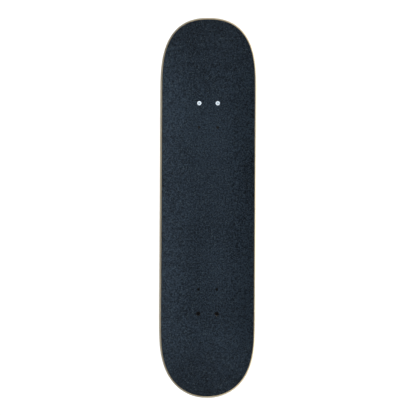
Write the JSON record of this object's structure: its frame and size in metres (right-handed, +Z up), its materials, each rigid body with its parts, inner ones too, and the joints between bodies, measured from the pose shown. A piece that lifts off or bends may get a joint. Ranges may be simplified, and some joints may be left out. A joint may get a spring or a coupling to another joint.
{
  "type": "skateboard",
  "caption": "Street skateboard: a kicked, concave maple deck under black grip tape, on leaning kingpin trucks with urethane wheels that spin on ball bearings.",
  "frame": {"origin": "on the ground, under the middle of the overall length and width", "axes": "+Z up, +Y towards the nose, +X to the right of a rider who faces the nose"},
  "size_m": [0.216, 0.816, 0.1426],
  "materials": {
    "maple": "clear lacquered maple veneer, seven plies bare at the edge",
    "grip_tape": "coarse black mineral grit that sparkles in raking light",
    "bright_steel": "bright zinc plate",
    "black_steel": "black oxide",
    "dark_steel": "oiled steel",
    "axle_steel": "ground steel",
    "bearing_steel": "polished chrome steel",
    "cast_aluminium": "tumbled raw casting",
    "bushing_urethane": "soft cast urethane",
    "cup_urethane": "moulded black urethane",
    "wheel_urethane": "hard cast urethane, lightly scuffed on the tread",
    "cage_nylon": "moulded nylon",
    "shield": "thin black shield"
  },
  "bodies": {
    "board": {"deck": "maple", "grip_tape": "grip_tape", "nose_marker_bolts": "bright_steel", "nose_bolts": "black_steel", "tail_bolts": "black_steel", "front_lock_nuts": "black_steel", "rear_lock_nuts": "black_steel", "front_baseplate": "cast_aluminium", "front_pivot_cup": "cup_urethane", "front_kingpin": "dark_steel", "front_kingpin_nut": "bright_steel", "front_boardside_washer": "bright_steel", "front_boardside_bushing": "bushing_urethane", "front_roadside_bushing": "bushing_urethane", "front_roadside_washer": "bright_steel", "rear_baseplate": "cast_aluminium", "rear_pivot_cup": "cup_urethane", "rear_kingpin": "dark_steel", "rear_kingpin_nut": "bright_steel", "rear_boardside_washer": "bright_steel", "rear_boardside_bushing": "bushing_urethane", "rear_roadside_bushing": "bushing_urethane", "rear_roadside_washer": "bright_steel"},
    "front_truck": {"front_hanger": "cast_aluminium", "front_axle": "axle_steel", "front_axle_nuts": "bright_steel", "front_speed_washers": "bright_steel", "front_left_bearing_inner_rings": "bearing_steel", "front_left_bearing_spacer": "bright_steel", "front_right_bearing_inner_rings": "bearing_steel", "front_right_bearing_spacer": "bright_steel"},
    "rear_truck": {"rear_hanger": "cast_aluminium", "rear_axle": "axle_steel", "rear_axle_nuts": "bright_steel", "rear_speed_washers": "bright_steel", "rear_left_bearing_inner_rings": "bearing_steel", "rear_left_bearing_spacer": "bright_steel", "rear_right_bearing_inner_rings": "bearing_steel", "rear_right_bearing_spacer": "bright_steel"},
    "front_left_wheel": {"front_left_wheel": "wheel_urethane", "front_left_bearing_outer_rings": "bearing_steel", "front_left_bearing_shields": "shield"},
    "front_right_wheel": {"front_right_wheel": "wheel_urethane", "front_right_bearing_outer_rings": "bearing_steel", "front_right_bearing_shields": "shield"},
    "rear_left_wheel": {"rear_left_wheel": "wheel_urethane", "rear_left_bearing_outer_rings": "bearing_steel", "rear_left_bearing_shields": "shield"},
    "rear_right_wheel": {"rear_right_wheel": "wheel_urethane", "rear_right_bearing_outer_rings": "bearing_steel", "rear_right_bearing_shields": "shield"},
    "front_left_balls": {"front_left_bearing_balls": "bearing_steel", "front_left_bearing_cages": "cage_nylon"},
    "front_right_balls": {"front_right_bearing_balls": "bearing_steel", "front_right_bearing_cages": "cage_nylon"},
    "rear_left_balls": {"rear_left_bearing_balls": "bearing_steel", "rear_left_bearing_cages": "cage_nylon"},
    "rear_right_balls": {"rear_right_bearing_balls": "bearing_steel", "rear_right_bearing_cages": "cage_nylon"}
  },
  "joints": [
    {"name": "front_truck_lean", "type": "hinge", "parent": "board", "child": "front_truck", "pos_m": [0, 0.22636, 0.06786], "axis": [0, -0.8988, -0.4384], "range_deg": [-15, 15], "stiffness_Nm_per_rad": 60, "deforming": ["front_boardside_bushing", "front_roadside_bushing"]},
    {"name": "rear_truck_lean", "type": "hinge", "parent": "board", "child": "rear_truck", "pos_m": [0, -0.22826, 0.06786], "axis": [0, -0.8988, 0.4384], "range_deg": [-15, 15], "stiffness_Nm_per_rad": 60, "deforming": ["rear_boardside_bushing", "rear_roadside_bushing"]},
    {"name": "front_left_wheel_spin", "type": "hinge", "parent": "front_truck", "child": "front_left_wheel", "pos_m": [0, 0.20801, 0.027], "axis": [1, 0, 0], "continuous": true},
    {"name": "front_right_wheel_spin", "type": "hinge", "parent": "front_truck", "child": "front_right_wheel", "pos_m": [0, 0.20801, 0.027], "axis": [1, 0, 0], "continuous": true},
    {"name": "rear_left_wheel_spin", "type": "hinge", "parent": "rear_truck", "child": "rear_left_wheel", "pos_m": [0, -0.20991, 0.027], "axis": [1, 0, 0], "continuous": true},
    {"name": "rear_right_wheel_spin", "type": "hinge", "parent": "rear_truck", "child": "rear_right_wheel", "pos_m": [0, -0.20991, 0.027], "axis": [1, 0, 0], "continuous": true},
    {"name": "front_left_balls_roll", "type": "hinge", "parent": "front_truck", "child": "front_left_balls", "pos_m": [0, 0.20801, 0.027], "axis": [1, 0, 0], "continuous": true},
    {"name": "front_right_balls_roll", "type": "hinge", "parent": "front_truck", "child": "front_right_balls", "pos_m": [0, 0.20801, 0.027], "axis": [1, 0, 0], "continuous": true},
    {"name": "rear_left_balls_roll", "type": "hinge", "parent": "rear_truck", "child": "rear_left_balls", "pos_m": [0, -0.20991, 0.027], "axis": [1, 0, 0], "continuous": true},
    {"name": "rear_right_balls_roll", "type": "hinge", "parent": "rear_truck", "child": "rear_right_balls", "pos_m": [0, -0.20991, 0.027], "axis": [1, 0, 0], "continuous": true}
  ],
  "couplings": [
    {"joint": "front_left_balls_roll", "follows": "front_left_wheel_spin", "ratio": 0.6323},
    {"joint": "front_right_balls_roll", "follows": "front_right_wheel_spin", "ratio": 0.6323},
    {"joint": "rear_left_balls_roll", "follows": "rear_left_wheel_spin", "ratio": 0.6323},
    {"joint": "rear_right_balls_roll", "follows": "rear_right_wheel_spin", "ratio": 0.6323}
  ]
}
